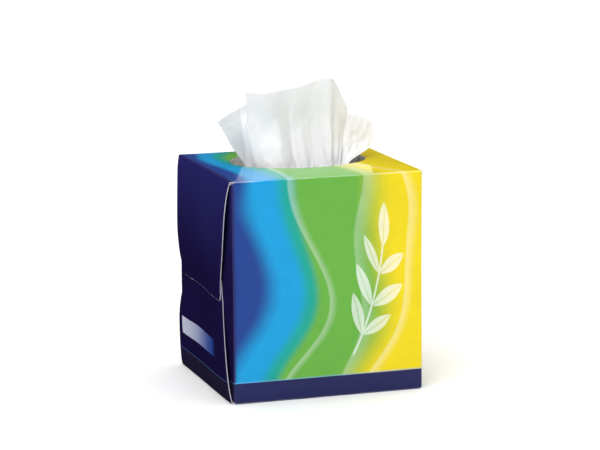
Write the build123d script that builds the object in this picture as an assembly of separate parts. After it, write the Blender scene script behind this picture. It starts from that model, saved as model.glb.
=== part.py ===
from build123d import *
import os

# Cube tissue carton with its clip of folded tissues and one tissue standing in the opening.
# Millimetres, +Z up, origin at the middle of the carton's base. The front panel faces -Y, and the
# two ends that glued flaps close face -X and +X.

# Carton, outside sizes at the creases
carton_length = 113.0
carton_depth = 106.0
carton_height = 125.0
card = 0.5
crease_radius = 0.9
top_bow = 1.8

# Oval opening in the top panel
opening_length = 82.0
opening_width = 62.0
opening_right_shift = 4.0
opening_back_shift = 3.0

# End flaps: two dust flaps under a lower flap and an outer upper flap
upper_flap_end = 56.5
flap_overlap = 12.0
glue_strip = 3.0
upper_flap_bulge = 2.0
lower_flap_bulge = 1.5
flap_side_taper = 11.0
flap_corner_relief = 0.8
flap_corner_radius = 2.0
dust_flap_length = 46.0
dust_flap_taper = 9.0
dust_flap_corner_radius = 6.0
glue_lap = 14.0

# Clip of interfolded tissues, bent over into an upside-down U
clip_end_gap = 1.0
clip_side_gap = 1.0
clip_head_gap = 14.0
clip_crown_radius = 30.0
clip_slit_width = 1.4
clip_slit_height = 58.0

# Tissue that stands in the opening, gathered at its foot
tissue_thickness = 0.7
tissue_left_shift = 4.5
tissue_foot_gap = 2.0
tissue_mouth_gap = 8.0
tissue_lip_spread = 81.0
tissue_lip_height = 9.5
tissue_lip_right_shift = 3.0
tissue_spread = 93.0
tissue_spread_depth = 26.0
tissue_spread_height = 26.0
tissue_height = 48.0

# Each fold of the standing tissue, left to right: share of its half width, share of its half depth
tissue_folds = (
    (-1.00, 0.40),
    (-0.88, 0.58),
    (-0.77, 0.22),
    (-0.69, 0.10),
    (-0.61, -0.48),
    (-0.45, -0.70),
    (-0.30, -1.00),
    (-0.17, -0.52),
    (-0.04, -0.72),
    (0.10, -0.40),
    (0.22, -0.62),
    (0.31, -0.38),
    (0.41, -0.84),
    (0.50, -0.22),
    (0.60, 0.42),
    (0.69, 0.02),
    (0.80, -0.12),
    (0.90, 0.14),
    (1.00, 0.50),
)

# Upper edge of the standing tissue, left to right: share of its half width, share of its height
tissue_edge = (
    (-1.40, 0.30),
    (-0.99, 0.56),
    (-0.88, 0.63),
    (-0.67, 0.75),
    (-0.66, 0.87),
    (-0.35, 0.875),
    (0.03, 0.905),
    (0.17, 0.95),
    (0.31, 0.99),
    (0.41, 1.00),
    (0.49, 0.955),
    (0.57, 0.77),
    (0.66, 0.575),
    (0.92, 0.48),
    (1.00, 0.41),
    (1.40, 0.10),
)

# Places that several pieces share
end_x = carton_length / 2
side_y = carton_depth / 2
side_panel_end = end_x - 2 * card - crease_radius
lower_flap_end = upper_flap_end + flap_overlap
clip_top = carton_height - card - clip_head_gap


def crease_arc(centre, start, end):
    """Quarter-round fold from start to end about a centre."""
    middle, first, last = Vector(*centre), Vector(*start), Vector(*end)
    bisector = (first - middle) + (last - middle)
    return ThreePointArc(first, middle + bisector.normalized() * (first - middle).length, last)


def card_section(path):
    """Flat section of bent card. path(inset) gives the edges of its face at a depth below the outside."""
    outer, inner = Wire(path(0)), Wire(path(card))
    ends = [Line(outer @ 0, inner @ 0), Line(outer @ 1, inner @ 1)]
    return make_face([*outer.edges(), *inner.edges(), *ends])


def at_both_ends(piece):
    """A piece of the +X end with its twin at the -X end."""
    return piece + mirror(piece, about=Plane.YZ)


def panel_tube():
    """Front, back and bottom panels with the four long creases and the glued lap, open at the top."""
    ring = RectangleRounded(carton_depth, carton_height, crease_radius)
    ring -= RectangleRounded(carton_depth - 2 * card, carton_height - 2 * card, crease_radius - card)
    ring -= Pos(0, (carton_height - card) / 2) * Rectangle(carton_depth - 2 * crease_radius, card)
    tube = extrude(Plane.YZ * Pos(0, carton_height / 2) * ring, amount=side_panel_end, both=True)
    lap_place = Pos(0, side_y - 1.5 * card, carton_height - crease_radius - glue_lap / 2)
    return tube + lap_place * Box(2 * side_panel_end, card, glue_lap)


def top_panel():
    """Top panel, bowed up between its creases, with the oval opening."""
    crease_x, crease_y = end_x - crease_radius, side_y - crease_radius

    def across(x, bow):
        def path(inset):
            z = carton_height - inset
            return [Bezier((x, -crease_y, z), (x, 0, z + 2 * bow), (x, crease_y, z))]

        return card_section(path)

    panel = loft([across(-crease_x, 0), across(0, top_bow), across(crease_x, 0)])
    oval = Pos(opening_right_shift, opening_back_shift, carton_height / 2)
    oval *= Ellipse(opening_length / 2, opening_width / 2)
    return panel - extrude(oval, amount=carton_height)


def bulge(start, end, depth):
    """Curve of a flap that springs out of its crease and comes back to where it is glued."""
    run = end[1] - start[1]
    return Bezier(
        start,
        (start[0] + 2 * depth, start[1] + 0.25 * run),
        (end[0] + depth, start[1] + 0.7 * run),
        end,
    )


def upper_flap_path(inset):
    """Path in XZ from the top panel's end, over its crease and down to the glued free edge."""
    crease = (end_x - crease_radius, carton_height - crease_radius)
    hinge = (end_x - inset, crease[1])
    glued = (end_x - inset, upper_flap_end + glue_strip)
    return [
        crease_arc(crease, (crease[0], carton_height - inset), hinge),
        bulge(hinge, glued, upper_flap_bulge),
        Line(glued, (glued[0], upper_flap_end)),
    ]


def lower_flap_path(inset):
    """Path in XZ from the bottom panel's end, over its crease and up under the upper flap."""
    crease = (end_x - crease_radius, crease_radius)
    hinge = (end_x - inset, crease[1])
    glued = (end_x - card - inset, upper_flap_end - card)
    return [
        Line((side_panel_end, inset), (crease[0], inset)),
        crease_arc(crease, (crease[0], inset), hinge),
        bulge(hinge, glued, lower_flap_bulge),
        Line(glued, (glued[0], lower_flap_end)),
    ]


def dust_flap_path(inset):
    """Path in XY from the front panel's end, round its crease and across the end."""
    crease = (side_panel_end, crease_radius - side_y)
    hinge = (crease[0] + crease_radius - inset, crease[1])
    return [
        crease_arc(crease, (crease[0], inset - side_y), hinge),
        Line(hinge, (hinge[0], dust_flap_length - side_y)),
    ]


def trim(points, free_corners, radius):
    """Block along +X with an outline in YZ, rounded at the flap's free corners."""
    outline = make_face(Polyline(*points, close=True))
    corners = [outline.vertices().sort_by_distance(corner)[0] for corner in free_corners]
    return extrude(Plane.YZ * fillet(corners, radius), amount=carton_length)


def major_flap(path, panel_z, hinge_z, free_z):
    """Flap across the whole end, with slanted sides and rounded free corners."""
    hinge_y = side_y - crease_radius - flap_corner_relief
    free_y = hinge_y - flap_side_taper
    free = [(-free_y, free_z), (free_y, free_z)]
    outline = [(-hinge_y, panel_z), (-hinge_y, hinge_z), *free, (hinge_y, hinge_z), (hinge_y, panel_z)]
    sheet = extrude(Plane.XZ * card_section(path), amount=side_y, both=True)
    return sheet & trim(outline, free, flap_corner_radius)


def dust_flaps():
    """Inner flaps of one end, folded in from the front and back panels."""
    low = crease_radius + flap_corner_relief
    high = carton_height - low
    hinge_y, free_y = crease_radius - side_y, dust_flap_length - side_y
    free = [(free_y, low + dust_flap_taper), (free_y, high - dust_flap_taper)]
    outline = [(-side_y, low), (hinge_y, low), *free, (hinge_y, high), (-side_y, high)]
    sheet = extrude(card_section(dust_flap_path), amount=carton_height)
    front = sheet & trim(outline, free, dust_flap_corner_radius)
    return front + mirror(front, about=Plane.XZ)


def make_carton():
    """The whole folded and glued sheet of card."""
    crease_z = carton_height - crease_radius
    upper = major_flap(upper_flap_path, carton_height, crease_z, upper_flap_end)
    lower = major_flap(lower_flap_path, 0, crease_radius, lower_flap_end)
    return panel_tube() + top_panel() + at_both_ends(dust_flaps() + lower + upper)


def make_clip():
    """Clip of interfolded tissues, standing on the carton's floor."""
    length = 2 * (end_x - 3 * card - clip_end_gap)
    depth = carton_depth - 4 * card - 2 * clip_side_gap
    height = clip_top - card
    section = Rectangle(length, height, align=(Align.CENTER, Align.MIN))
    section = fillet(section.vertices().group_by(Axis.Y)[-1], clip_crown_radius)
    clip = extrude(Plane.XZ * Pos(0, card) * section, amount=depth / 2, both=True)
    slit = Rectangle(clip_slit_width, clip_slit_height, align=(Align.CENTER, Align.MIN))
    slit = fillet(slit.vertices().group_by(Axis.Y)[-1], 0.45 * clip_slit_width)
    return clip - extrude(Plane.XZ * Pos(0, card) * slit, amount=depth, both=True)


def make_tissue():
    """Standing tissue: a pleated fan from its gathered foot, cut to its uneven upper edge."""
    middle_x = opening_right_shift - tissue_left_shift
    foot_half = end_x - 3 * card - clip_end_gap - clip_crown_radius - tissue_foot_gap
    mouth_half = opening_length / 2 - tissue_mouth_gap
    widest = tissue_spread / 2
    levels = (
        (clip_top, foot_half, 0),
        (carton_height, mouth_half, middle_x),
        (carton_height + tissue_lip_height, tissue_lip_spread / 2, middle_x + tissue_lip_right_shift),
        (carton_height + tissue_spread_height, widest, middle_x),
        (carton_height + tissue_height + tissue_thickness, widest, middle_x),
    )

    def level(z, half_width, x):
        half_depth = half_width * tissue_spread_depth / tissue_spread
        front = [(x + u * half_width, v * half_depth + opening_back_shift) for u, v in tissue_folds]
        back = [(px, py + tissue_thickness) for px, py in reversed(front)]
        return Pos(0, 0, z) * make_face(Polyline(*front, *back, close=True))

    fan = loft([level(*row) for row in levels], ruled=True)
    edge = [(middle_x + u * widest, carton_height + w * tissue_height) for u, w in tissue_edge]
    outline = make_face(Polyline((edge[0][0], 0), *edge, (edge[-1][0], 0), close=True))
    return fan & extrude(Plane.XZ * outline, amount=carton_depth, both=True)


os.makedirs("parts", exist_ok=True)
pieces = {
    "carton": make_carton(),
    "tissue_stack": make_clip(),
    "pop_up_tissue": make_tissue(),
}
for name, piece in pieces.items():
    export_step(piece, f"parts/{name}.step")
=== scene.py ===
import math

import bmesh
import bpy
from bpy.props import FloatProperty, FloatVectorProperty, PointerProperty
from mathutils import Matrix, Vector, noise


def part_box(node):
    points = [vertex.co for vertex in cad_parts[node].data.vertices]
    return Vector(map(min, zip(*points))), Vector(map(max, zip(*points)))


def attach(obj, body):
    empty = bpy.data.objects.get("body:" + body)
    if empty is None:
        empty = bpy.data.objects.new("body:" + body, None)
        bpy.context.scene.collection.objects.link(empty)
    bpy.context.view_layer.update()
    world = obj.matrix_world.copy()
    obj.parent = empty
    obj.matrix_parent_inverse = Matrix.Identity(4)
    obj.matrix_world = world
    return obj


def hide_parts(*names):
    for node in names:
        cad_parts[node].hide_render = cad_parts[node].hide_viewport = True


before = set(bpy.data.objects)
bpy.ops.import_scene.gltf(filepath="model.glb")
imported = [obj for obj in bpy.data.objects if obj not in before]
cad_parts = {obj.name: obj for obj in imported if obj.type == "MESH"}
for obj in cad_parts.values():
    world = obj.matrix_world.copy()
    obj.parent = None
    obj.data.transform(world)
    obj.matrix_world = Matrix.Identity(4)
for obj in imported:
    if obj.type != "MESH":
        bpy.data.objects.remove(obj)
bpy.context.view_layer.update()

bl_info = {
    "name": "Tissue Cube",
    "version": (1, 0, 0),
    "blender": (4, 5, 0),
    "location": "View3D > Sidebar > Tissue Cube",
    "description": "Folded card tissue cube with its clip of tissues and one tissue standing in the opening",
    "category": "Object",
}

CARTON_LOW, CARTON_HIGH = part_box("carton")
CLIP_LOW, CLIP_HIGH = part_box("tissue_stack")
BODY = "root"
MM = 0.001
WHITE = (1, 1, 1)
BLACK = (0, 0, 0)

# Places that are closer than this count as the same, in metres
SAME = 1e-5


def srgb(red, green, blue):
    """Linear colour of an sRGB colour given in steps of 0 to 255."""
    parts = (step / 255 for step in (red, green, blue))
    return tuple(s / 12.92 if s <= 0.04045 else ((s + 0.055) / 1.055) ** 2.4 for s in parts)


def length(name, default, description):
    """Property for a length in metres."""
    return FloatProperty(name=name, description=description, default=default, unit="LENGTH", precision=5)


def share(name, default, description):
    """Property for a share from 0 to 1."""
    return FloatProperty(name=name, description=description, default=default, min=0, max=1, subtype="FACTOR")


def angle(name, default, description):
    """Property for an angle, with its default in degrees."""
    return FloatProperty(name=name, description=description, default=math.radians(default), subtype="ANGLE")


def colour(name, default, description):
    """Property for a colour, with its default in sRGB steps."""
    return FloatVectorProperty(name=name, description=description, default=srgb(*default), size=3,
                               subtype="COLOR", min=0, max=1)


def strength(name, default, description):
    """Property for the strength of a light."""
    return FloatProperty(name=name, description=description, default=default, min=0)


# Settings


class CartonSettings(bpy.types.PropertyGroup):
    """Sizes of the folded carton, outside, at its creases."""

    length: length("Length", 113 * MM, "Outside length between the two flap ends")
    depth: length("Depth", CARTON_HIGH.y - CARTON_LOW.y, "Outside depth, front to back")
    height: length("Height", 125 * MM, "Outside height at the creases")
    card: length("Card", 0.5 * MM, "Thickness of the card")
    crease: length("Crease", 0.9 * MM, "Outside radius of a fold")
    top_bow: length("Top Bow", 1.8 * MM, "Rise of the top panel's middle over its creases")
    panel_bow: length("Panel Bow", 0.5 * MM, "Rise of the front and back panels' middles")
    opening_length: length("Opening Length", 79.5 * MM, "Length of the oval opening")
    opening_width: length("Opening Width", 62 * MM, "Width of the oval opening")
    opening_right: length("Opening Right", 0.8 * MM, "Shift of the opening to the right")
    opening_back: length("Opening Back", 3 * MM, "Shift of the opening to the back")
    flap_end: length("Flap End", 56.5 * MM, "Height of the upper flap's free edge")
    flap_overlap: length("Flap Overlap", 12 * MM, "Height by which the two large flaps overlap")
    glue_strip: length("Glue Strip", 3 * MM, "Height of the glued strip along the upper flap's free edge")
    upper_bulge: length("Upper Bulge", 2.0 * MM, "How far the upper flap springs out")
    lower_bulge: length("Lower Bulge", 1.5 * MM, "How far the lower flap springs out")
    flap_taper: length("Flap Taper", 11 * MM, "How far each side of a large flap slants in")
    flap_relief: length("Flap Relief", 0.8 * MM, "Cut back of a flap beside its crease")
    right_spring: share("Right Spring", 0.2, "Share of the bulges that the right end's flaps have")
    right_relief: length("Right Relief", 2.4 * MM, "Cut back of the right end's large flaps")
    flap_corner: length("Flap Corner", 1.3 * MM, "Radius of a large flap's free corners")
    corner_lift: length("Corner Lift", 0.15 * MM, "How far the left upper flap's near corner stands off")
    end_swell: length("End Swell", 3.0 * MM, "How far the near half of the left end is pushed out")
    dust_length: length("Dust Flap Length", 46 * MM, "Length of a dust flap")
    dust_taper: length("Dust Flap Taper", 9 * MM, "How far each side of a dust flap slants in")
    dust_corner: length("Dust Flap Corner", 6 * MM, "Radius of a dust flap's free corners")
    glue_lap: length("Glue Lap", 14 * MM, "Width of the lap glued inside the back panel")
    unevenness: length("Unevenness", 0.22 * MM, "Gentle waves that handling leaves in the card")


class PrintSettings(bpy.types.PropertyGroup):
    """Colours and gloss of the printed card."""

    navy: colour("Navy", (30, 27, 84), "Darkest colour of the sweep and of the crease beside the left end")
    deep_navy: colour("Deep Navy", (28, 31, 84), "Colour of the base band")
    blue: colour("Blue", (23, 61, 139), "Left colour of the front")
    cyan: colour("Cyan", (8, 153, 212), "Colour of the first sweep")
    teal: colour("Teal", (18, 160, 143), "Colour between cyan and green")
    green: colour("Green", (101, 171, 64), "Middle colour of the front")
    yellow: colour("Yellow", (233, 209, 16), "Right colour of the front")
    left_end: colour("Left End", (22, 16, 53), "Colour of the left end")
    # Painted light: an end's top colour is its own colour lightened, so that the end grows lighter upwards as
    # if lit from above
    left_end_lit_top: colour("Left End Top", (36, 34, 90), "Colour that the left end turns to upwards")
    right_end_lit_top: colour("Right End Top", (247, 228, 70), "Colour that the right end turns to upwards")
    # Painted shade: the base band's navy darkened on the left end; the right end's band keeps the deep navy
    shaded_left_band: colour("Left Base Band", (31, 26, 48), "Colour of the base band on the left end")
    line: colour("Line", (120, 170, 225), "Colour of the pale line on the band")
    bar_dark: colour("Bar Dark", (38, 62, 134), "Colour of the near end of an end's bar")
    bar_pale: colour("Bar Pale", (176, 180, 200), "Colour of the far end of an end's bar")
    # Also the colour of the painted highlight along the long creases
    worn_and_highlight: colour("Worn", (222, 226, 232), "Colour of the card where the print is rubbed off")
    inside: colour("Inside", (244, 241, 234), "Colour of the bare card inside")
    inside_fibre: colour("Inside Fibre", (251, 249, 244), "Colour of the fibres inside")
    # Painted shade: the cut edges and their fibres are the pale card darkened and tinted lilac as in shade
    shaded_cut_edge: colour("Cut Edge", (198, 195, 210), "Colour of the card's cut edges")
    shaded_cut_edge_fibre: colour("Cut Edge Fibre", (182, 178, 196), "Colour of the fibres in the cut edges")
    fleck: colour("Fleck", (120, 112, 102), "Colour of the flecks in bare card")
    band: length("Base Band", 11.8 * MM, "Height of the base band")
    band_line: length("Band Line", 0.7 * MM, "Height of the pale line on the band")
    varnish: share("Varnish", 0.9, "Strength of the varnish on the front, top and back")


class TissueSettings(bpy.types.PropertyGroup):
    """Sizes and colour of the standing tissue."""

    width: length("Width", 205 * MM, "Cut width of a tissue")
    drawn: length("Drawn Length", 80 * MM, "Length of the tissue that is drawn out of the clip")
    ply: length("Thickness", 0.2 * MM, "Thickness of the three plies together")
    paper: colour("Paper", (250, 250, 251), "Colour of the tissue")


class StageSettings(bpy.types.PropertyGroup):
    """Camera, floor and light."""

    target: FloatVectorProperty(name="Target", description="Point that the camera looks at",
                                default=(1.1 * MM, 0.8 * MM, 88.4 * MM), size=3, subtype="TRANSLATION")
    distance: length("Distance", 1500 * MM, "Distance of the camera from its target")
    azimuth: angle("Azimuth", -18.074, "Direction of the camera round the object")
    elevation: angle("Elevation", 10.452, "Height of the camera over the horizon")
    roll: angle("Roll", -0.467, "Turn of the camera about its axis")
    lens: FloatProperty(name="Lens", description="Focal length in millimetres on a 36 mm sensor",
                        default=157.06)
    key: strength("Key", 1.5, "Strength of the soft key light")
    key_way: FloatVectorProperty(name="Key Way", description="Direction in which the key light shines",
                                 default=(0.55, 0.78, -0.68), size=3, subtype="DIRECTION")
    key_width: angle("Key Width", 50, "Width of the key light as the object sees it")
    sky: strength("Sky", 2.5, "Strength of the light from overhead")
    horizon: strength("Horizon", 0.05, "Strength of the light from the sides")
    sky_start: share("Sky Start", 0.45, "Height from which the sky grows brighter, as a share of straight up")
    floor: share("Floor", 0.86, "Tone of the floor")


class TissueCubeSettings(bpy.types.PropertyGroup):
    """All settings of the tissue cube."""

    carton: PointerProperty(type=CartonSettings)
    print: PointerProperty(type=PrintSettings)
    tissue: PointerProperty(type=TissueSettings)
    stage: PointerProperty(type=StageSettings)


# Shader nodes


class Value:
    """A shader socket that works in Python expressions."""

    def __init__(self, shader, socket):
        self.shader = shader
        self.socket = socket

    def maths(self, operation, first, second=None):
        inputs = {0: first} if second is None else {0: first, 1: second}
        return self.shader.node("ShaderNodeMath", {"operation": operation}, inputs)

    def __add__(self, other):
        return self.maths("ADD", self, other)

    def __radd__(self, other):
        return self.maths("ADD", other, self)

    def __sub__(self, other):
        return self.maths("SUBTRACT", self, other)

    def __rsub__(self, other):
        return self.maths("SUBTRACT", other, self)

    def __mul__(self, other):
        return self.maths("MULTIPLY", self, other)

    def __rmul__(self, other):
        return self.maths("MULTIPLY", other, self)

    def __truediv__(self, other):
        return self.maths("DIVIDE", self, other)

    def __abs__(self):
        return self.maths("ABSOLUTE", self)

    def sine(self):
        return self.maths("SINE", self)

    def most(self, other):
        return self.maths("MAXIMUM", self, other)

    def rise(self, start, end):
        """0 before start, 1 after end and smooth between them. End may be the smaller one."""
        settings = {"interpolation_type": "SMOOTHSTEP"}
        if start <= end:
            return self.shader.node("ShaderNodeMapRange", settings, {0: self, 1: start, 2: end})
        return 1 - self.shader.node("ShaderNodeMapRange", settings, {0: self, 1: end, 2: start})


class Shader:
    """One material and its nodes."""

    # Sockets of a node that mixes colours
    FACTOR, FIRST, SECOND, RESULT = 0, 6, 7, 2

    def __init__(self, name):
        self.material = bpy.data.materials.new(name)
        self.material.use_nodes = True
        self.tree = self.material.node_tree
        self.tree.nodes.clear()
        self.place = self.node("ShaderNodeTexCoord", output="Object")

    def node(self, kind, settings=None, inputs=None, output=0):
        """Adds a node: its settings first, then the values or links of its sockets."""
        node = self.tree.nodes.new(kind)
        for name, setting in (settings or {}).items():
            if name == "stops":
                self.set_stops(node.color_ramp, setting)
            else:
                setattr(node, name, setting)
        for key, given in (inputs or {}).items():
            if isinstance(given, Value):
                self.tree.links.new(given.socket, node.inputs[key])
            else:
                node.inputs[key].default_value = given
        return Value(self, node.outputs[output])

    @staticmethod
    def set_stops(ramp, stops):
        ramp.interpolation = "EASE"
        while len(ramp.elements) < len(stops):
            ramp.elements.new(0.5)
        for element, (position, stop) in zip(ramp.elements, stops):
            element.position = position
            element.color = (*stop, 1)

    def axes(self):
        """The Object coordinates as three values, in metres."""
        split = self.node("ShaderNodeSeparateXYZ", inputs={0: self.place}).socket.node
        return [Value(self, socket) for socket in split.outputs]

    def mix(self, factor, first, second):
        """Mixes two colours."""
        first, second = (end if isinstance(end, Value) else (*end, 1) for end in (first, second))
        inputs = {self.FACTOR: factor, self.FIRST: first, self.SECOND: second}
        return self.node("ShaderNodeMix", {"data_type": "RGBA"}, inputs, output=self.RESULT)

    def speckle(self, scale, detail, vector=None):
        """Noise from 0 to 1, with its scale in features a metre."""
        return self.node("ShaderNodeTexNoise", inputs={
            "Vector": vector or self.place,
            "Scale": scale,
            "Detail": detail,
        })

    def stretched(self, scale, vector=None):
        """Coordinates with each axis scaled by itself."""
        return self.node("ShaderNodeMapping", inputs={"Vector": vector or self.place, "Scale": scale})

    def bump(self, height, depth):
        """Normal of a height that runs from 0 to 1, with its depth in metres."""
        return self.node("ShaderNodeBump", inputs={"Height": height, "Distance": depth, "Strength": 1.0})

    def principled(self, inputs):
        """Adds the surface and links it to the output."""
        self.output(self.node("ShaderNodeBsdfPrincipled", inputs=inputs))

    def output(self, surface):
        """Links a surface to the material's output."""
        output = self.tree.nodes.new("ShaderNodeOutputMaterial")
        self.tree.links.new(surface.socket, output.inputs["Surface"])


# Materials of the carton

# Leaves of the printed sprig: place on its stalk in mm, turn from the stalk in degrees, length in mm
SPRIG_LEAVES = (
    (14, 34, 24),
    (14, -36, 22),
    (31, 40, 24),
    (31, -40, 25),
    (49, 38, 21),
    (49, -40, 22),
    (63, 0, 24),
)

# Pale ribbons in the sweeping fields: where they start, how wide and how strong they are
RIBBONS = ((0.33, 0.05, 0.22), (0.60, 0.09, 0.16), (0.80, 0.06, 0.20))


def leaf(along, across, size):
    """Mask of a leaf of a given length, from coordinates along and across it."""
    fullness, soft_edge, stalk_end = 0.62, 0.35 * MM, 0.02
    run = along / size
    width = run * (1 - run) * (size * fullness)
    return (width - abs(across)).rise(0, soft_edge) * run.rise(0, stalk_end)


def turned(along, across, turn):
    """Coordinates turned by an angle in degrees."""
    cosine, sine = math.cos(math.radians(turn)), math.sin(math.radians(turn))
    return along * cosine + across * sine, across * cosine - along * sine


def sprig(x, z):
    """Mask of a sprig of leaves that grows up and to the right."""
    foot_x, foot_z, stalk_turn = 8 * MM, 24 * MM, 62
    curvature, offset, stalk_end = 3.2, 6 * MM, 66 * MM
    along_stalk, across_stalk = turned(x - foot_x, z - foot_z, stalk_turn)
    across_stalk = across_stalk - along_stalk * along_stalk * curvature + offset
    stalk = abs(across_stalk).rise(0.75 * MM, 0.4 * MM)
    mask = stalk * along_stalk.rise(0, 4 * MM) * along_stalk.rise(stalk_end, stalk_end - 2 * MM)
    for at, turn, size in SPRIG_LEAVES:
        along, across = turned(along_stalk - at * MM, across_stalk, turn)
        vein = abs(across).rise(0.25 * MM, 0.5 * MM) * 0.45 + 0.55
        mask = mask.most(leaf(along, across, size * MM) * vein)
    return mask


def sweep_colour(shader, settings, x, run):
    """Colour of the sweeping fields at a place along the length and along the wrapped sheet."""
    p, c = settings.print, settings.carton
    stops = (
        (0.00, p.navy),
        (0.10, p.blue),
        (0.17, p.blue),
        (0.29, p.cyan),
        (0.35, p.cyan),
        (0.42, p.teal),
        (0.47, p.green),
        (0.68, p.green),
        (0.86, p.yellow),
        (1.00, p.yellow),
    )

    def wave(period, phase, amount):
        return (run * (math.tau / period) + phase).sine() * amount

    across = (x + c.length / 2) / c.length
    left_of_top = x.rise(-38 * MM, -57 * MM) * run.rise(105 * MM, 150 * MM)
    field = across + wave(215 * MM, 2.5, 0.11) + wave(97 * MM, across * 2.2 + 0.6, 0.045) - 0.2 * left_of_top
    swept = shader.node("ShaderNodeValToRGB", {"stops": stops}, {0: field * 0.86 + 0.18})
    for start, width, amount in RIBBONS:
        place = field + wave(160 * MM, start * 9, 0.05)
        ribbon = place.rise(start - 0.006, start + 0.006) * place.rise(start + width, start)
        swept = shader.mix(ribbon * amount, swept, WHITE)
    return swept


def base_band(shader, p, tone, colour_above, z, line_strength):
    """Adds the band along the base and its pale line."""
    soft_edge, line_top = 0.15 * MM, p.band + p.band_line
    above = z.rise(p.band - soft_edge, p.band + soft_edge)
    line = above * z.rise(line_top + soft_edge, line_top - soft_edge)
    banded = shader.mix(above, tone, colour_above)
    return shader.mix(line * line_strength, banded, p.line)


def crease_wear_and_highlight(shader, c, x, y, z):
    """Mask of the pale line along the long creases and at the corners, partly rubbed print and partly a
    painted highlight of the rounded creases.
    """
    pale_starts, pale_ends = 0.9 * MM, 0.3 * MM
    near_side = (c.depth / 2 - abs(y)).rise(pale_starts, pale_ends)
    near_edge = (c.height / 2 - abs(z - c.height / 2)).rise(pale_starts, pale_ends)
    corner = (c.length / 2 - abs(x)).rise(5 * MM, 1.2 * MM)
    patchy = shader.speckle(55, 4).rise(0.40, 0.70)
    # The pale line is partly rubbed print and partly a painted highlight of the creases' shine
    return near_side * near_edge * (0.10 + 0.34 * patchy + 0.3 * corner)


def finish_print(shader, p, printed, wear_and_highlight, varnish, sheen):
    """Surface of printed card, with varnish where the print isn't rubbed off or paled by the painted crease
    highlight.
    """
    fibre = shader.speckle(900, 3)
    # Paler along the creases: rubbed print and a painted highlight
    worn_and_highlight = shader.mix(wear_and_highlight, printed, p.worn_and_highlight)
    toned = shader.mix(shader.speckle(120, 3).rise(0.35, 0.75) * 0.05, worn_and_highlight, BLACK)
    shader.principled({
        "Base Color": toned,
        "Roughness": 0.42 + 0.12 * fibre,
        "Specular IOR Level": sheen,
        "Coat Weight": (1 - wear_and_highlight) * varnish if varnish else 0,
        "Coat Roughness": 0.09,
        "Coat IOR": 1.3,
        "Normal": shader.bump(fibre * 0.6 + shader.speckle(330, 2) * 0.4, 0.012 * MM),
    })
    return shader.material


def wrap_print(settings):
    """Printed card of the front, top, back and bottom panels."""
    shader = Shader("printed_wrap")
    p, c = settings.print, settings.carton
    x, y, z = shader.axes()
    printed = sweep_colour(shader, settings, x, z + y + c.depth / 2)
    upright = abs(y).rise(c.depth / 2 - 1.0 * MM, c.depth / 2 - 0.6 * MM)
    on_back = y.rise(-1 * MM, 1 * MM)
    facing_x = x * (1 - 2 * on_back)
    printed = shader.mix(sprig(facing_x, z) * upright * 0.5, printed, WHITE)
    left_crease = x.rise(-53.2 * MM, -55.4 * MM)
    printed = shader.mix(left_crease, printed, p.navy)
    printed = base_band(shader, p, p.deep_navy, printed, z, 0.45)
    # Pale line along the creases: rubbed print and a painted highlight
    wear_and_highlight = crease_wear_and_highlight(shader, c, x, y, z)
    return finish_print(shader, p, printed, wear_and_highlight, p.varnish, sheen=0.03)


def gradient_bar(shader, p, y, z, around):
    """Adds a plain bar low on an end, pale at its far end."""
    low, high, near, far = 22 * MM, 32 * MM, -31 * MM, 40 * MM
    fade, soft_edge = 11 * MM, 0.2 * MM
    upright = z.rise(low - soft_edge, low + soft_edge) * z.rise(high + soft_edge, high - soft_edge)
    inside = upright * y.rise(near, near + fade) * y.rise(far + soft_edge, far - soft_edge)
    toned = shader.mix(y.rise(near + fade - 5 * MM, far), p.bar_dark, p.bar_pale)
    return shader.mix(inside, around, toned)


def end_print(name, settings, low, high, band):
    """Printed card of an end, a plain field over the base band, lightened upwards by painted light."""
    shader = Shader(name)
    p, c = settings.print, settings.carton
    x, y, z = shader.axes()
    cloudy = (shader.speckle(14, 1) - 0.5) * 0.25
    # Painted light: the field lightens towards the top
    printed = shader.mix((z / c.height + cloudy).rise(0.45, 1.15), low, high)
    printed = gradient_bar(shader, p, y, z, printed)
    printed = base_band(shader, p, band, printed, z, 0.12)
    rub = shader.node("ShaderNodeAttribute", {"attribute_name": "rub"}, output="Fac")
    rubbed = rub * (0.16 + 0.7 * shader.speckle(140, 3).rise(0.52, 0.66))
    # Rubbed print along the flap's edge and the creases, with a painted highlight on the creases
    wear_and_highlight = crease_wear_and_highlight(shader, c, x, y, z).most(rubbed)
    return finish_print(shader, p, printed, wear_and_highlight, varnish=0.0, sheen=0.0)


def bare_card(name, tone, fibre_tone, fleck_tone):
    """Unprinted card with its grey fibres."""
    shader = Shader(name)
    fibres = shader.speckle(1, 4, shader.stretched((420, 2400, 900)))
    flecks = shader.speckle(1500, 2).rise(0.60, 0.72)
    toned = shader.mix(fibres.rise(0.3, 0.7), tone, fibre_tone)
    shader.principled({
        "Base Color": shader.mix(flecks * 0.4, toned, fleck_tone),
        "Roughness": 0.85 + 0.1 * fibres,
        "Specular IOR Level": 0.2,
        "Normal": shader.bump(fibres, 0.03 * MM),
    })
    return shader.material


# Carton

# How the contents push out the far side of the left end: how far, at what height and how wide, in mm
FAR_PUSHES = ((1.5, 78, 15), (0.8, 66, 8), (-0.7, 112, 10), (1.3, 34, 17))

# Steps round the corners of a flap's free edge, as shares of their radius
CORNER_STEPS = (0.7, 0.4, 0.18, 0.05, 0)
DUST_CORNER_STEPS = (0.7, 0.42, 0.2, 0.06, 0)


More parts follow.
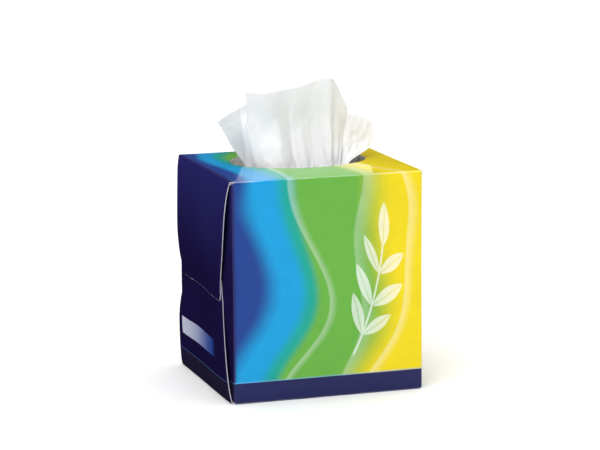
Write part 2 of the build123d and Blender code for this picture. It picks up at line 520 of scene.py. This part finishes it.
class CardSheet:
    """The outside of a folded sheet of card, grown by extruding rows of edges."""

    def __init__(self):
        self.bm = bmesh.new()
        self.rub = self.bm.verts.layers.float.new("rub")

    def open_edges(self, test):
        """Open edges of which both ends pass a test."""
        return [e for e in self.bm.edges if len(e.link_faces) == 1 and all(test(v.co) for v in e.verts)]

    def grow(self, edges, rows, material=0):
        """Extrudes a chain of edges through rows. Each row turns an old place into the new one."""
        for row in rows:
            made = bmesh.ops.extrude_edge_only(self.bm, edges=edges)["geom"]
            verts = {item for item in made if isinstance(item, bmesh.types.BMVert)}
            for vert in verts:
                vert.co = row(vert.co)
            edges = [e for e in made if isinstance(e, bmesh.types.BMEdge) and verts.issuperset(e.verts)]
            for face in {face for edge in edges for face in edge.link_faces}:
                face.material_index = material
        return edges


def steps(start, end, count):
    """Evenly spaced values after start, up to end."""
    return [start + (end - start) * (i + 1) / count for i in range(count)]


def quarter_turn(count=5):
    """Sine and cosine of the steps of a quarter-round fold."""
    return [(math.sin(a), math.cos(a)) for a in steps(0, math.pi / 2, count)]


def corner_inset(left, radius):
    """How far a rounded corner draws in at a distance before the free edge."""
    if left >= radius:
        return 0
    return radius - math.sqrt(radius ** 2 - (radius - left) ** 2)


def top_panel(sheet, c, per_side=48, rings=7):
    """Top panel as rings from its rectangle to the oval opening, then bowed."""
    bm = sheet.bm
    half_x, half_y = c.length / 2 - c.crease, c.depth / 2 - c.crease
    signs = ((1, 1), (-1, 1), (-1, -1), (1, -1))
    corners = [bm.verts.new((sx * half_x, sy * half_y, c.height)) for sx, sy in signs]
    sides = [bm.edges.new((corners[i], corners[i - 1])) for i in range(4)]
    bmesh.ops.subdivide_edges(bm, edges=sides, cuts=per_side - 1)
    outer = set(bm.edges)
    place = Matrix.Translation((c.opening_right, c.opening_back, c.height))
    place = place @ Matrix.Diagonal((c.opening_length / 2, c.opening_width / 2, 1, 1))
    bmesh.ops.create_circle(bm, segments=4 * per_side, radius=1, matrix=place)
    rims = [e for e in bm.edges if e in outer] + [e for e in bm.edges if e not in outer]
    spokes = bmesh.ops.bridge_loops(bm, edges=rims)["edges"]
    bmesh.ops.subdivide_edges(bm, edges=spokes, cuts=rings - 1, use_grid_fill=True)
    for vert in bm.verts:
        across = (1 - (vert.co.x / half_x) ** 2) * (1 - (vert.co.y / half_y) ** 2)
        vert.co.z += c.top_bow * across


def panel_tube(sheet, c, panel_steps=24, lap_steps=4):
    """Front, bottom and back panels, grown from the top panel's front edge, and the glued lap."""
    half_y, flat_y, flat_z = c.depth / 2, c.depth / 2 - c.crease, c.height - c.crease
    reach, panel_end = c.length / 2 - c.crease, c.length / 2 - 2 * c.card - c.crease
    middle_z = c.height / 2

    def at(y, z, squeeze=1.0):
        return lambda co: Vector((co.x * squeeze, y, z))

    def upright(y, z, sign):
        bow = sign * c.panel_bow * (1 - ((z - middle_z) / middle_z) ** 2)
        return lambda co: Vector((co.x, y + bow * max(0, 1 - (co.x / panel_end) ** 2), z))

    turn = quarter_turn()
    squeeze = (panel_end / reach) ** (1 / len(turn))
    rows = [at(-flat_y - c.crease * s, flat_z + c.crease * k, squeeze) for s, k in turn]
    rows += [upright(-half_y, z, -1) for z in steps(flat_z, c.crease, panel_steps)]
    rows += [at(-flat_y - c.crease * k, c.crease - c.crease * s) for s, k in turn]
    rows += [at(y, 0) for y in steps(-flat_y, flat_y, panel_steps)]
    rows += [at(flat_y + c.crease * s, c.crease - c.crease * k) for s, k in turn]
    rows += [upright(half_y, z, 1) for z in steps(c.crease, flat_z - c.card / 2, panel_steps)]
    front = sheet.open_edges(lambda co: co.y < -flat_y + SAME)
    back = sheet.open_edges(lambda co: co.y > flat_y - SAME)
    sheet.grow(front, rows)
    lap_y = half_y - c.card
    lap = [at(flat_y + (lap_y - flat_y) * s, flat_z + c.crease * k, squeeze) for s, k in turn]
    lap += [at(lap_y, z) for z in steps(flat_z, flat_z - c.glue_lap, lap_steps)]
    sheet.grow(back, lap)


def bulge_curve(start, end, depth, count):
    """Places along a flap that springs out of its crease and comes back to where it is glued."""
    places = []
    for t in steps(0, 1, count):
        early, late, last = 3 * (1 - t) ** 2 * t, 3 * (1 - t) * t ** 2, t ** 3
        first = (1 - t) ** 3
        x = first * start[0] + early * (start[0] + 2 * depth) + late * (end[0] + depth) + last * end[0]
        z = start[1] + (end[1] - start[1]) * (0.25 * early + 0.7 * late + last)
        places.append((x, z))
    return places


def ease(value):
    """Smooth rise from 0 to 1."""
    value = min(1, max(0, value))
    return value * value * (3 - 2 * value)


def swell(c, side, y, z):
    """How far the contents push out the left end, in all its layers."""
    if side > 0:
        return 0

    def bell(middle, spread):
        return math.exp(-((z / MM - middle) / spread) ** 2)

    near_height, spread_above, spread_below = 60, 27, 41
    near = ease((y + c.depth / 2) / (15 * MM)) * ease((20 * MM - y) / (55 * MM))
    far = ease((c.depth / 2 - y) / (8 * MM)) * ease((y - 5 * MM) / (30 * MM))
    near_push = c.end_swell * bell(near_height, spread_above if z > near_height * MM else spread_below)
    far_push = sum(push * bell(height, spread) for push, height, spread in FAR_PUSHES) * MM
    return near * near_push + far * far_push


def hinge_half(c, side):
    """Half width of a large flap at its crease."""
    return c.depth / 2 - c.crease - (c.flap_relief if side < 0 else c.right_relief)


def flap_half(c, side, z, hinge, free):
    """Half width of a large flap at a height between its crease and its free edge."""
    slanted = hinge_half(c, side) - c.flap_taper * (hinge - z) / (hinge - free)
    return slanted - corner_inset(abs(z - free), c.flap_corner)


def flap_spring(c, side):
    """Share of its bulge by which a large flap springs out."""
    return 1 if side < 0 else c.right_spring


def free_steps(c, start, free):
    """Heights from a place on a large flap to its free edge, closer together round its corners."""
    last = free + math.copysign(c.flap_corner, start - free)
    return steps(start, last, 4) + [free + (last - free) * part for part in CORNER_STEPS]


def corner_lift(c, side, across, z):
    """How far the near free corner of the left upper flap stands off."""
    if side > 0:
        return 0
    start_z, start_across = c.flap_end + c.flap_overlap + 8 * MM, 0.45
    low = max(0, (start_z - z) / (start_z - c.flap_end))
    corner = max(0, (-across - start_across) / (1 - start_across))
    return c.corner_lift * low * low * corner * corner


def flap_rows(c, side, places, half_widths, lift=lambda c, side, across, z: 0):
    """Rows of a large flap from its places in XZ, its half widths and how far its corner lifts."""
    rows = []
    before = c.depth / 2 - c.crease
    for (x, z), half in zip(places, half_widths):
        def row(co, x=x, z=z, half=half, scale=half / before):
            y = co.y * scale
            return Vector((side * (x + swell(c, side, y, z) + lift(c, side, y / half, z)), y, z))
        rows.append(row)
        before = half
    return rows


def upper_flap(sheet, c, side, material):
    """Outer flap of one end, grown from the top panel. The print is rubbed along its free edge."""
    end_x, reach = c.length / 2, c.length / 2 - c.crease
    crease_z = c.height - c.crease
    turn = quarter_turn()
    fold = [(reach + c.crease * s, crease_z + c.crease * k) for s, k in turn]
    halves = steps(c.depth / 2 - c.crease, hinge_half(c, side), len(turn))
    glued = (end_x, c.flap_end + c.glue_strip)
    free = bulge_curve((end_x, crease_z), glued, flap_spring(c, side) * c.upper_bulge, 22)
    free += [(end_x, z) for z in free_steps(c, glued[1], c.flap_end)]
    halves += [flap_half(c, side, z, crease_z, c.flap_end) for _, z in free]
    hinge = sheet.open_edges(lambda co: side * co.x > reach - SAME and co.z > c.height - SAME)
    sheet.grow(hinge, flap_rows(c, side, fold + free, halves, corner_lift), material)
    for vert in sheet.bm.verts:
        outer = side * vert.co.x - swell(c, side, vert.co.y, vert.co.z) > end_x - 0.1 * MM
        if outer and vert.co.z < c.flap_end + 0.12 * MM:
            vert[sheet.rub] = 1


def lower_flap(sheet, c, side, material):
    """Flap of one end that grows from the bottom panel and is glued under the upper flap."""
    end_x, reach = c.length / 2, c.length / 2 - c.crease
    panel_end = reach - 2 * c.card
    free_z = c.flap_end + c.flap_overlap
    fold = [(reach, 0)] + [(reach + c.crease * s, c.crease - c.crease * k) for s, k in quarter_turn()]
    halves = [hinge_half(c, side)] * len(fold)
    glued = (end_x - c.card, c.flap_end - c.card)
    free = bulge_curve((end_x, c.crease), glued, flap_spring(c, side) * c.lower_bulge, 16)
    free += [(glued[0], z) for z in free_steps(c, glued[1], free_z)]
    halves += [flap_half(c, side, z, c.crease, free_z) for _, z in free]
    hinge = sheet.open_edges(lambda co: side * co.x > panel_end - SAME and co.z < SAME)
    sheet.grow(hinge, flap_rows(c, side, fold + free, halves), material)


def dust_flap(sheet, c, side, facing, material, wrapped_rows=3):
    """Inner flap of one end, folded in from the front (facing -1) or the back panel."""
    panel_end = c.length / 2 - 2 * c.card - c.crease
    flat_y, middle = c.depth / 2 - c.crease, c.height / 2

    def on_hinge(co):
        at_end = side * co.x > panel_end - SAME and facing * co.y > c.depth / 2 - SAME
        return at_end and c.crease - SAME < co.z < c.height - c.crease + SAME

    hinge = sheet.open_edges(on_hinge)
    before = middle - c.crease
    rows = []

    def add(x, y, half):
        nonlocal before

        def row(co, scale=half / before):
            z = middle + (co.z - middle) * scale
            return Vector((side * (x + swell(c, side, facing * y, z)), facing * y, z))
        rows.append(row)
        before = half

    fold_half = before - c.flap_relief
    turn = quarter_turn()
    for (s, k), half in zip(turn, steps(before, fold_half, len(turn))):
        add(panel_end + c.crease * s, flat_y + c.crease * k, half)
    free = c.depth / 2 - c.dust_length
    places = steps(flat_y, free + c.dust_corner, 8)
    places += [free + c.dust_corner * part for part in DUST_CORNER_STEPS]
    for y in places:
        slanted = fold_half - c.dust_taper * (flat_y - y) / (flat_y - free)
        add(panel_end + c.crease, y, slanted - corner_inset(y - free, c.dust_corner))
    folded = sheet.grow(hinge, rows[:wrapped_rows])
    sheet.grow(folded, rows[wrapped_rows:], material)


def soften(sheet, amount, waves_a_metre=22, upright_share=0.6, seed=5):
    """Leaves gentle waves in the card, the same ones each time."""
    noise.seed_set(seed)
    for vert in sheet.bm.verts:
        wave = noise.noise_vector(vert.co * waves_a_metre)
        vert.co += Vector((wave.x, wave.y, wave.z * upright_share)) * amount


def carton_mesh(c):
    """The folded sheet, outside only, facing outwards."""
    sheet = CardSheet()
    top_panel(sheet, c)
    panel_tube(sheet, c)
    for side, material in ((-1, 1), (1, 2)):
        upper_flap(sheet, c, side, material)
        lower_flap(sheet, c, side, material)
        for facing in (-1, 1):
            dust_flap(sheet, c, side, facing, material)
    soften(sheet, c.unevenness)
    bmesh.ops.recalc_face_normals(sheet.bm, faces=sheet.bm.faces)
    sheet.bm.faces.ensure_lookup_table()
    front = min(sheet.bm.faces, key=lambda f: f.calc_center_median().y)
    if front.normal.y > 0:
        bmesh.ops.reverse_faces(sheet.bm, faces=sheet.bm.faces)
    for face in sheet.bm.faces:
        face.smooth = True
    return sheet.bm


# Tissue

# Each fold line of the standing tissue, left to right, in millimetres: its place at the mouth of the
# opening (x, y), halfway up (x, y, z) where it isn't straight, and its end on the upper edge (x, y, z)
TISSUE_FOLDS = (
    ((-33.0, 0), (-40.7, -5, 136.4), (-51.1, -10, 152.5)),
    ((-31.5, 2), None, (-44.7, -3.5, 154.2)),
    ((-29.6, 4), None, (-36.0, 4.5, 156.5)),
    ((-28.5, 2.5), (-31.5, 4, 146.5), (-29.6, 6, 158.6)),
    ((-27.5, 1), (-30.8, 2, 147.5), (-20.0, 5, 161.4)),
    ((-27.0, -0.5), (-30.2, 0, 149.0), (-21.5, 2, 164.2)),
    ((-26.0, -2.5), (-29.5, -2, 150.0), (-30.5, 2.5, 166.5)),
    ((-19.5, -8), None, (-25.9, -1.5, 166.5)),
    ((-10.8, -10), None, (-20.3, -5, 166.8)),
    ((-3.5, -4), None, (-9.8, -3.3, 167.9)),
    ((2.5, -5), None, (-2.7, -5, 169.0)),
    ((8.0, -3), None, (5.0, -5, 171.2)),
    ((13.0, -6), None, (11.2, -6, 173.4)),
    ((16.0, -9), None, (15.8, -8.5, 173.9)),
    ((18.3, -7.5), None, (20.4, -5, 171.2)),
    ((21.2, -6.5), None, (25.8, -2.5, 161.6)),
    ((23.7, -5), None, (29.0, 0, 153.6)),
    ((22.8, -1), None, (22.0, 6, 153.0)),
    ((24.0, -2.5), None, (25.0, 7, 152.2)),
    ((24.6, -8), None, (31.4, 4, 151.2)),
    ((25.3, -9.5), (33.4, -1, 136.7), (38.5, 5, 149.2)),
    ((26.8, -11.2), (39.6, -0.5, 133.8), (44.0, 6, 146.4)),
    ((28.0, -12.5), (43.7, -0.5, 132.2), (47.9, 7, 143.5)),
)

# Height of the opening's mouth in mm
MOUTH_Z = 126.0

# How the front of the tissue leans back over the opening for each mm of depth, and by how many mm it
# stands forward at the mouth and back halfway up
LEAN = Vector((0.3, 1, -0.18))
LEAN_FORWARD, LEAN_BACK = 3.2, 3.0

# Share of the tissue's width, from each side, that doesn't lean, and over which the lean sets in
WING, WING_BLEND = 0.2, 0.1

# The gathered foot and the skirt that lies on the clip, as shares of the mouth's x and y, and how many mm
# they lie further forward
FOOT_SHARES, FOOT_FORWARD = (0.66, 0.9), 5
SKIRT_SHARES, SKIRT_FORWARD = (1.15, 0.2), 25

# Number of small pleats that gather the tissue, how far they stray sideways as a share of one, and the
# share of their depth that the right wing loses
PLEATS, PLEAT_DRIFT, WING_LOSS = 27, 1.4, 0.85

# Depths in mm of the pleats low on the tissue, of those that run up to its edge, of waves and of crumples
LOW_PLEAT, LONG_PLEAT, WAVE, CRUMPLE = 2.4, 0.5, 0.4, 0.7


def through(points, t):
    """Smooth curve through points, at t from 0 to 1."""
    place = t * (len(points) - 1)
    i = min(int(place), len(points) - 2)
    f = place - i
    p1, p2 = points[i], points[i + 1]
    p0 = points[i - 1] if i > 0 else 2 * p1 - p2
    p3 = points[i + 2] if i + 2 < len(points) else 2 * p2 - p1
    return 0.5 * (2 * p1 + (p2 - p0) * f + (2 * p0 - 5 * p1 + 4 * p2 - p3) * f * f
                  + (3 * p1 - p0 - 3 * p2 + p3) * f ** 3)


def fold_lines():
    """Places of all folds at the mouth, halfway up and on the upper edge, as three rows."""
    folds = []
    for (x, y), halfway, edge in TISSUE_FOLDS:
        mouth, edge = Vector((x, y, MOUTH_Z)), Vector(edge)
        folds.append((mouth, Vector(halfway) if halfway else mouth.lerp(edge, 0.5), edge))
    return [list(row) for row in zip(*folds)]


def tissue_place(lines, across, up, clip_top):
    """Place on the tissue, from 0 to 1 across it and from its foot up to its upper edge."""
    mouth, shoulder, edge = (through(line, across) for line in lines)
    front = ease((across - WING) / WING_BLEND) * ease((1 - WING - across) / WING_BLEND)
    mouth, shoulder = mouth - LEAN_FORWARD * front * LEAN, shoulder + LEAN_BACK * front * LEAN
    foot = Vector((mouth.x * FOOT_SHARES[0], mouth.y * FOOT_SHARES[1] - FOOT_FORWARD, clip_top))
    skirt = Vector((mouth.x * SKIRT_SHARES[0], mouth.y * SKIRT_SHARES[1] - SKIRT_FORWARD, clip_top + 0.4))
    neck = foot.lerp(mouth, 0.5)
    return through([skirt, foot, neck, mouth, shoulder, edge], up)


def pillow(co, across):
    """Soft bulge under an arched crease, low on the front's left side."""
    left, right = 0.27, 0.42
    middle_x, half_width, arch_z, arch_height = -18.5, 6.5, 131, 9
    if not left < across < right:
        return Vector()
    reach = math.hypot((co.x / MM - middle_x) / half_width, max(0, co.z / MM - arch_z) / arch_height)
    return Vector((-0.2, -1.0, 0)) * ease((1.1 - reach) / 0.5)


def ridged(x, y, seed):
    """Noise with sharp ridges, about 0.5 at their tops."""
    return 0.5 - abs(noise.noise(Vector((x, y, seed))))


def crease_depth(across, up):
    """How far the tissue stands off its fold lines, in mm."""
    low, right_wing = ease((0.60 - up) / 0.3), ease((across - 0.8) / 0.1)
    gather = LOW_PLEAT * low * (1 - WING_LOSS * right_wing) + LONG_PLEAT * (1 - up)
    drift = noise.noise(Vector((across * 6, up * 3, 1.7)))
    pleat = math.sin(math.tau * (across * PLEATS + drift * PLEAT_DRIFT)) * gather
    fold = ridged(across * 15 + up * 1.5, up * 1.6, 4.2)
    wave = noise.noise(Vector((across * 26, up * 7, 9.1))) * WAVE
    crumple = ridged(across * 30 - up * 4, up * 12 + across * 5, 2.3) * CRUMPLE
    return pleat + fold + wave + crumple


def tissue_mesh(t, columns=330, rows=100):
    """The sheet as a grid that is laid along its fold lines and then crumpled."""
    bm = bmesh.new()
    uv_layer = bm.loops.layers.uv.new("sheet")
    bmesh.ops.create_grid(bm, x_segments=columns, y_segments=rows, size=0.5)
    lines, clip_top = fold_lines(), CLIP_HIGH.z / MM
    spots = {v: (v.co.x + 0.5, v.co.y + 0.5) for v in bm.verts}
    for face in bm.faces:
        face.smooth = True
        for loop in face.loops:
            u, v = spots[loop.vert]
            loop[uv_layer].uv = (u * t.width, v * t.drawn)
    for vert, (u, v) in spots.items():
        vert.co = tissue_place(lines, u, v, clip_top) * MM
    bm.normal_update()
    for vert, (u, v) in spots.items():
        vert.co += (vert.normal * crease_depth(u, v) + pillow(vert.co, u)) * MM
    lowest = CLIP_HIGH.z + t.ply
    for vert in bm.verts:
        vert.co.z = max(vert.co.z, lowest)
    return bm


def tissue_paper(settings):
    """Soft creped paper that lets some light through."""
    shader = Shader("tissue_paper")
    uv = shader.node("ShaderNodeUVMap", {"uv_map": "sheet"})
    creping = shader.speckle(1, 3, shader.stretched((700, 2600, 1), uv))
    plies = shader.speckle(90, 3, uv)
    paper, light_through = settings.tissue.paper, 0.32
    toned = shader.mix(plies.rise(0.3, 0.8) * 0.5, paper, tuple(0.95 * part for part in paper))
    normal = shader.bump(creping * 0.7 + plies * 0.3, 0.05 * MM)
    face = shader.node("ShaderNodeBsdfPrincipled", inputs={
        "Base Color": toned,
        "Roughness": 0.9 + 0.08 * creping,
        "Specular IOR Level": 0.15,
        "Sheen Weight": 0.15,
        "Normal": normal,
    })
    through_light = shader.node("ShaderNodeBsdfTranslucent", inputs={"Color": (*paper, 1)})
    shader.output(shader.node("ShaderNodeMixShader", inputs={0: light_through, 1: face, 2: through_light}))
    return shader.material


# Clip of folded tissues


def span(edge, axis):
    """Extent of an edge along an axis."""
    first, second = edge.verts
    return abs(first.co[axis] - second.co[axis])


def above(edge, z):
    """Whether both ends of an edge lie over a height."""
    return all(vert.co.z > z for vert in edge.verts)


def clip_mesh(low, high, crown=30 * MM, rim=2.5 * MM, unevenness=0.9 * MM):
    """Block of folded tissues with a rounded crown and gently uneven faces."""
    bm = bmesh.new()
    size, middle = high - low, (low + high) / 2
    long_edge = 20 * MM
    place = Matrix.Translation(middle) @ Matrix.Diagonal((*size, 1))
    bmesh.ops.create_cube(bm, size=1, matrix=place)
    shoulders = [e for e in bm.edges if above(e, middle.z) and span(e, 0) < SAME]
    bmesh.ops.bevel(bm, geom=shoulders, offset=crown, segments=14, affect="EDGES", profile=0.5, material=-1)
    rims = [e for e in bm.edges if above(e, low.z + SAME) and span(e, 1) < SAME]
    bmesh.ops.bevel(bm, geom=rims, offset=rim, segments=4, affect="EDGES", profile=0.5, material=-1)
    lengthwise = [e for e in bm.edges if span(e, 1) > long_edge]
    bmesh.ops.subdivide_edges(bm, edges=lengthwise, cuts=46, use_grid_fill=True)
    flat = [e for e in bm.edges if span(e, 0) > long_edge and e.verts[0].co.z > middle.z]
    bmesh.ops.subdivide_edges(bm, edges=flat, cuts=30, use_grid_fill=True)
    bm.normal_update()
    for vert in bm.verts:
        height = max(0, (vert.co.z - middle.z) / (high.z - middle.z))
        wave = noise.noise(Vector((vert.co.x * 60, vert.co.y * 35, 3.3))) - 0.6
        fold = -abs(noise.noise(Vector((vert.co.x * 25, vert.co.y * 90, 7.7))))
        vert.co += vert.normal * (wave + fold) * unevenness * height
    bmesh.ops.recalc_face_normals(bm, faces=bm.faces)
    for face in bm.faces:
        face.smooth = True
    return bm


def clip_paper(settings):
    """Edges and faces of many soft layers."""
    shader = Shader("clip_paper")
    layer = shader.speckle(1, 2, shader.stretched((900, 60, 60)))
    creping = shader.speckle(900, 3)
    paper = settings.tissue.paper
    toned = shader.mix(layer.rise(0.45, 0.75) * 0.35, paper, tuple(0.8 * part for part in paper))
    shader.principled({
        "Base Color": toned,
        "Roughness": 0.92 + 0.06 * creping,
        "Specular IOR Level": 0.15,
        "Normal": shader.bump(layer * 0.7 + creping * 0.3, 0.12 * MM),
    })
    return shader.material


# Operators


def add_object(name, bm, materials):
    """Makes an object of a bmesh, at the origin, with its materials."""
    mesh = bpy.data.meshes.new(name)
    bm.to_mesh(mesh)
    bm.free()
    for material in materials:
        mesh.materials.append(material)
    piece = bpy.data.objects.new(name, mesh)
    bpy.context.scene.collection.objects.link(piece)
    return piece


def give_thickness(piece, thickness, offset, slots=0, sharp_over=None):
    """Turns a sheet into a wall. Inner faces and cut edges take the next sets of material slots."""
    wall = piece.modifiers.new("wall", "SOLIDIFY")
    wall.thickness = thickness
    wall.offset = offset
    wall.material_offset = slots
    wall.material_offset_rim = 2 * slots
    bpy.context.view_layer.update()
    solid = bpy.data.meshes.new_from_object(piece.evaluated_get(bpy.context.evaluated_depsgraph_get()))
    piece.modifiers.clear()
    sheet = piece.data
    piece.data = solid
    bpy.data.meshes.remove(sheet)
    solid.name = piece.name
    if sharp_over is not None:
        solid.set_sharp_from_angle(angle=sharp_over)


class TISSUECUBE_OT_carton(bpy.types.Operator):
    """Fold the printed carton"""

    bl_idname = "tissue_cube.carton"
    bl_label = "Carton"

    def execute(self, context):
        settings = context.scene.tissue_cube
        p, c = settings.print, settings.carton
        outside = [
            wrap_print(settings),
            # The left end's band colour carries painted shade
            end_print("printed_left_end", settings, p.left_end, p.left_end_lit_top, p.shaded_left_band),
            end_print("printed_right_end", settings, p.yellow, p.right_end_lit_top, p.deep_navy),
        ]
        inside = bare_card("card_inside", p.inside, p.inside_fibre, p.fleck)
        # The cut edges' colour is painted shade
        shaded_cut_edge = bare_card("card_cut_edge", p.shaded_cut_edge, p.shaded_cut_edge_fibre, p.fleck)
        materials = outside + [inside] * len(outside) + [shaded_cut_edge] * len(outside)
        carton = add_object("printed_carton", carton_mesh(c), materials)
        give_thickness(carton, c.card, -1, slots=len(outside), sharp_over=math.radians(40))
        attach(carton, BODY)
        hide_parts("carton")
        return {"FINISHED"}


class TISSUECUBE_OT_clip(bpy.types.Operator):
    """Stack the folded tissues"""

    bl_idname = "tissue_cube.clip"
    bl_label = "Clip of Tissues"

    def execute(self, context):
        settings = context.scene.tissue_cube
        clip = add_object("tissue_clip", clip_mesh(CLIP_LOW, CLIP_HIGH), [clip_paper(settings)])
        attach(clip, BODY)
        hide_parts("tissue_stack")
        return {"FINISHED"}


class TISSUECUBE_OT_tissue(bpy.types.Operator):
    """Stand the next tissue in the opening"""

    bl_idname = "tissue_cube.tissue"
    bl_label = "Standing Tissue"

    def execute(self, context):
        settings = context.scene.tissue_cube
        t = settings.tissue
        tissue = add_object("standing_tissue", tissue_mesh(t), [tissue_paper(settings)])
        give_thickness(tissue, t.ply, 0)
        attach(tissue, BODY)
        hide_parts("pop_up_tissue")
        return {"FINISHED"}


class TISSUECUBE_OT_stage(bpy.types.Operator):
    """Set the camera, the floor and the light"""

    bl_idname = "tissue_cube.stage"
    bl_label = "Stage"

    def execute(self, context):
        s = context.scene.tissue_cube.stage
        context.scene.view_settings.view_transform = "Standard"
        self.add_camera(context, s)
        self.add_floor(s)
        self.add_light(context, s)
        return {"FINISHED"}

    def add_camera(self, context, s):
        camera = bpy.data.objects.new("camera", bpy.data.cameras.new("camera"))
        context.scene.collection.objects.link(camera)
        camera.data.sensor_width = 36
        camera.data.lens = s.lens
        camera.data.clip_end = 100
        back = Vector((math.sin(s.azimuth) * math.cos(s.elevation),
                       -math.cos(s.azimuth) * math.cos(s.elevation),
                       math.sin(s.elevation)))
        turn = (-back).to_track_quat("-Z", "Y").to_matrix().to_4x4() @ Matrix.Rotation(s.roll, 4, "Z")
        camera.matrix_world = Matrix.Translation(Vector(s.target) + back * s.distance) @ turn
        context.scene.camera = camera

    def add_floor(self, s, radius=30):
        bm = bmesh.new()
        bmesh.ops.create_circle(bm, cap_ends=True, segments=96, radius=radius)
        shader = Shader("white_floor")
        tone = (s.floor, s.floor, s.floor, 1)
        shader.principled({"Base Color": tone, "Roughness": 0.95, "Specular IOR Level": 0.0})
        floor = add_object("floor", bm, [shader.material])

    def add_light(self, context, s):
        key = bpy.data.objects.new("key", bpy.data.lights.new("key", "SUN"))
        key.data.energy = s.key
        key.data.angle = s.key_width
        key.rotation_euler = Vector(s.key_way).to_track_quat("-Z", "Y").to_euler()
        context.scene.collection.objects.link(key)
        world = bpy.data.worlds.new("studio")
        world.use_nodes = True
        nodes, links = world.node_tree.nodes, world.node_tree.links
        place = nodes.new("ShaderNodeTexCoord")
        split = nodes.new("ShaderNodeSeparateXYZ")
        links.new(place.outputs["Generated"], split.inputs[0])
        height = nodes.new("ShaderNodeMapRange")
        height.inputs["From Min"].default_value = s.sky_start
        height.inputs["To Min"].default_value = s.horizon
        height.inputs["To Max"].default_value = s.sky
        links.new(split.outputs["Z"], height.inputs["Value"])
        links.new(height.outputs["Result"], nodes["Background"].inputs["Strength"])
        nodes["Background"].inputs["Color"].default_value = (*WHITE, 1)
        context.scene.world = world


class TISSUECUBE_PT_panel(bpy.types.Panel):
    """Settings and steps of the tissue cube"""

    bl_label = "Tissue Cube"
    bl_idname = "TISSUECUBE_PT_panel"
    bl_space_type = "VIEW_3D"
    bl_region_type = "UI"
    bl_category = "Tissue Cube"

    def draw(self, context):
        settings = context.scene.tissue_cube
        for operator, groups in STEPS:
            box = self.layout.box()
            box.operator(operator.bl_idname)
            for group in (getattr(settings, name) for name in groups):
                for key in group.__annotations__:
                    box.prop(group, key)


# Each step with the groups of settings that it reads
STEPS = (
    (TISSUECUBE_OT_carton, ("carton", "print")),
    (TISSUECUBE_OT_clip, ()),
    (TISSUECUBE_OT_tissue, ("tissue",)),
    (TISSUECUBE_OT_stage, ("stage",)),
)
CLASSES = (
    CartonSettings,
    PrintSettings,
    TissueSettings,
    StageSettings,
    TissueCubeSettings,
    *(operator for operator, _ in STEPS),
    TISSUECUBE_PT_panel,
)


def register():
    for cls in CLASSES:
        bpy.utils.register_class(cls)
    bpy.types.Scene.tissue_cube = PointerProperty(type=TissueCubeSettings)


def unregister():
    del bpy.types.Scene.tissue_cube
    for cls in reversed(CLASSES):
        bpy.utils.unregister_class(cls)


def main():
    register()
    bpy.ops.tissue_cube.carton()
    bpy.ops.tissue_cube.clip()
    bpy.ops.tissue_cube.tissue()
    bpy.ops.tissue_cube.stage()


if __name__ == "__main__":
    main()
